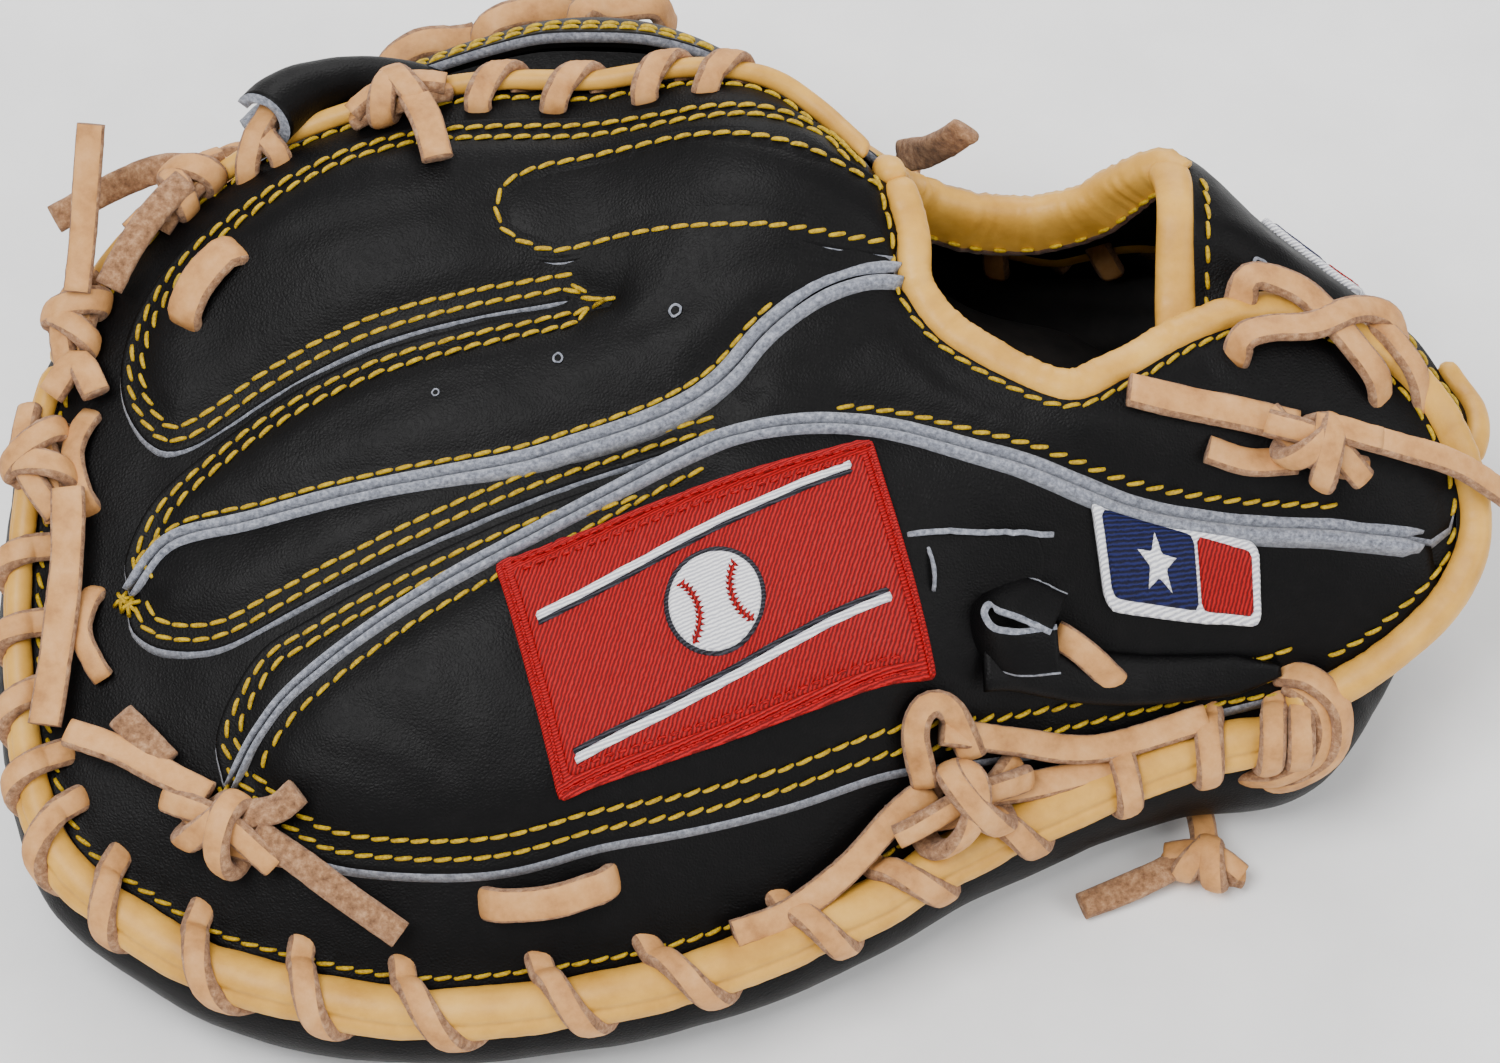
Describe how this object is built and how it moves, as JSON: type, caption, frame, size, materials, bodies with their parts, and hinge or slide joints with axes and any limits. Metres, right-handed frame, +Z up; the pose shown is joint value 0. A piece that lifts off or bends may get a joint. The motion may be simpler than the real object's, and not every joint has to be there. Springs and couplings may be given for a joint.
{
  "type": "baseball catcher's mitt",
  "caption": "Closed-web catcher's mitt lying palm down, padded rim with rolled binding, whip lacing and knots; thumb and finger sides fold about the palm crease.",
  "frame": {"origin": "on the resting plane, under the middle of the mitt's box", "axes": "+Z up, fingertips towards -X, wrist towards +X, little-finger side towards -Y, thumb side towards +Y"},
  "size_m": [0.2927, 0.2348, 0.1178],
  "materials": {
    "black_leather": "fine-grained black leather, satin",
    "tan_leather": "smooth tan leather over a soft roll",
    "rawhide_lace": "undyed lace, smooth grain side and fuzzy flesh side",
    "lining_leather": "soft black lining leather, matte",
    "felt_padding": "pressed wool felt",
    "raw_edge": "cut leather edge, pale grey-blue",
    "red_embroidery": "satin-stitched embroidery",
    "patch_embroidery": "satin-stitched embroidery",
    "gold_thread": "waxed gold sewing thread"
  },
  "bodies": {
    "finger_side": {"back_lining_finger_side": "lining_leather", "corner_knot": "rawhide_lace", "floor_knot": "rawhide_lace", "heel_knot": "rawhide_lace", "index_finger_pad": "black_leather", "index_middle_back": "black_leather", "label_patch": "red_embroidery", "little_finger_back": "black_leather", "little_finger_loop": "lining_leather", "lower_welt": "raw_edge", "middle_ring_back": "black_leather", "palm_leather_finger_side": "black_leather", "palm_lining_finger_side": "lining_leather", "palm_pad_finger_side": "felt_padding", "pull_strap": "black_leather", "rim_band": "black_leather", "rim_lace_finger_side": "rawhide_lace", "rim_roll_finger_side": "tan_leather", "side_knot": "rawhide_lace", "stay_laces": "rawhide_lace", "tip_knot": "rawhide_lace", "tip_lace_tail": "rawhide_lace", "top_knot": "rawhide_lace", "upper_welt": "raw_edge", "web_corner_knot": "rawhide_lace", "web_lace": "rawhide_lace", "web_panel": "black_leather", "web_side_lace": "rawhide_lace", "web_side_roll": "tan_leather", "web_top_bar": "black_leather", "wrist_binding_finger_side": "tan_leather", "wrist_knot": "rawhide_lace", "wrist_lace_tail": "rawhide_lace", "wrist_patch": "patch_embroidery", "wrist_tie_lace": "rawhide_lace"},
    "thumb_side": {"palm_leather_thumb_side": "black_leather", "palm_pad_thumb_side": "felt_padding", "palm_lining_thumb_side": "lining_leather", "thumb_back": "black_leather", "back_lining_thumb_side": "lining_leather", "wrist_strap": "black_leather", "wrist_strap_binding": "tan_leather", "wrist_strap_end_binding": "tan_leather", "thumb_opening_binding": "tan_leather", "thumb_patch": "patch_embroidery", "rim_roll_thumb_side": "tan_leather", "rim_lace_thumb_side": "rawhide_lace", "thumb_lace_loops": "rawhide_lace", "thumb_lace_tail": "rawhide_lace", "thumb_loop": "lining_leather"}
  },
  "joints": [
    {"name": "mitt_close", "type": "hinge", "parent": "finger_side", "child": "thumb_side", "pos_m": [0.1319, 0.0052, 0.0265], "axis": [-0.9767, 0.1834, 0.1116], "range_deg": [-6, 22], "deforming": ["web_panel", "web_top_bar", "wrist_tie_lace", "web_lace"]}
  ]
}
